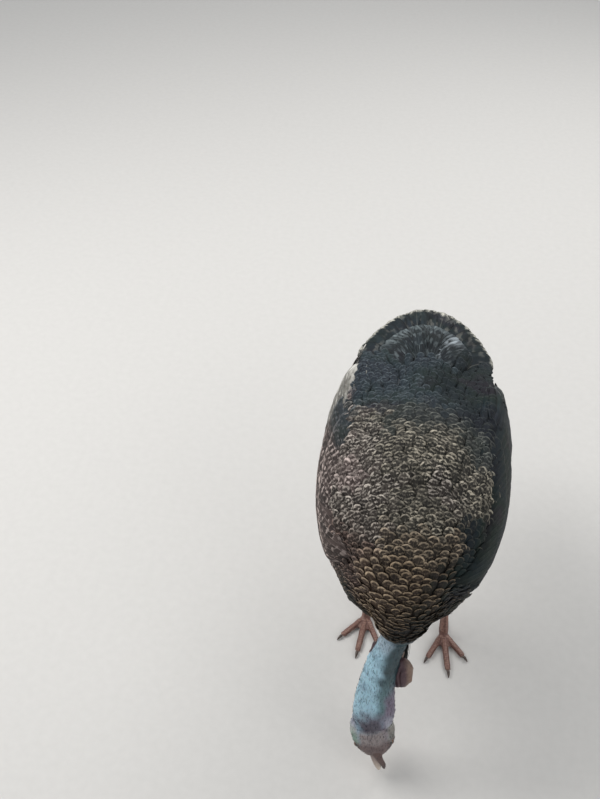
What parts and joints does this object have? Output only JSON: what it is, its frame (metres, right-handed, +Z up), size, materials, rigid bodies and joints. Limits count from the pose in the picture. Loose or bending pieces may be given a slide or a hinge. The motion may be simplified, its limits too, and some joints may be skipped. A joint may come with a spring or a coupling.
{
  "type": "domestic turkey",
  "caption": "Life-size museum-style model of a domestic turkey tom, feeding with its bare neck and head hanging to the floor, wings folded and tail half spread",
  "frame": {"origin": "centre of the bounding box in X and Y, on the floor under the toes", "axes": "+Z is up, the bird faces -Y, and its left side is +X"},
  "size_m": [0.338, 0.7562, 0.5677],
  "materials": {
    "face_skin": "soft wrinkled skin, mauve over the crown",
    "blue_skin": "soft wrinkled skin, pale blue",
    "red_skin": "soft folded skin, dusty pink to crimson",
    "eye": "wet and very glossy, dark brown",
    "bill_horn": "satin horn",
    "mantle_plumage": "matt feathers, dark centres with buff edges",
    "body_plumage": "feathers barred brown, grey and buff, glossy blue-black on the rump",
    "wing_plumage": "feathers mottled brown and black with pale edges",
    "tail_plumage": "slate-black feathers with grey bars and pale tips",
    "thigh_plumage": "soft dark feathers",
    "beard_bristle": "coarse black bristles",
    "leg_scale": "satin scales, reddish brown",
    "claw_horn": "satin dark horn"
  },
  "bodies": {
    "root": {"head": "face_skin", "eye_left": "eye", "eye_right": "eye", "bill_upper": "bill_horn", "bill_lower": "bill_horn", "snood": "red_skin", "dewlap": "red_skin", "neck_upper": "blue_skin", "caruncle_left": "red_skin", "caruncle_front": "red_skin", "caruncle_right": "red_skin", "neck_lower": "mantle_plumage", "trunk": "body_plumage", "beard": "beard_bristle", "wing_left_shoulder": "wing_plumage", "wing_left_secondaries": "wing_plumage", "wing_left_primaries": "wing_plumage", "wing_right_shoulder": "wing_plumage", "wing_right_secondaries": "wing_plumage", "wing_right_primaries": "wing_plumage", "tail_feathers": "tail_plumage", "tail_coverts": "tail_plumage", "undertail_coverts": "thigh_plumage", "thigh_left": "thigh_plumage", "thigh_right": "thigh_plumage", "shank_left": "leg_scale", "shank_right": "leg_scale", "spur_left": "claw_horn", "spur_right": "claw_horn", "toe_left_inner": "leg_scale", "toe_left_middle": "leg_scale", "toe_left_outer": "leg_scale", "toe_left_hind": "leg_scale", "toe_right_inner": "leg_scale", "toe_right_middle": "leg_scale", "toe_right_outer": "leg_scale", "toe_right_hind": "leg_scale", "claw_left_inner": "claw_horn", "claw_left_middle": "claw_horn", "claw_left_outer": "claw_horn", "claw_left_hind": "claw_horn", "claw_right_inner": "claw_horn", "claw_right_middle": "claw_horn", "claw_right_outer": "claw_horn", "claw_right_hind": "claw_horn"}
  },
  "joints": []
}
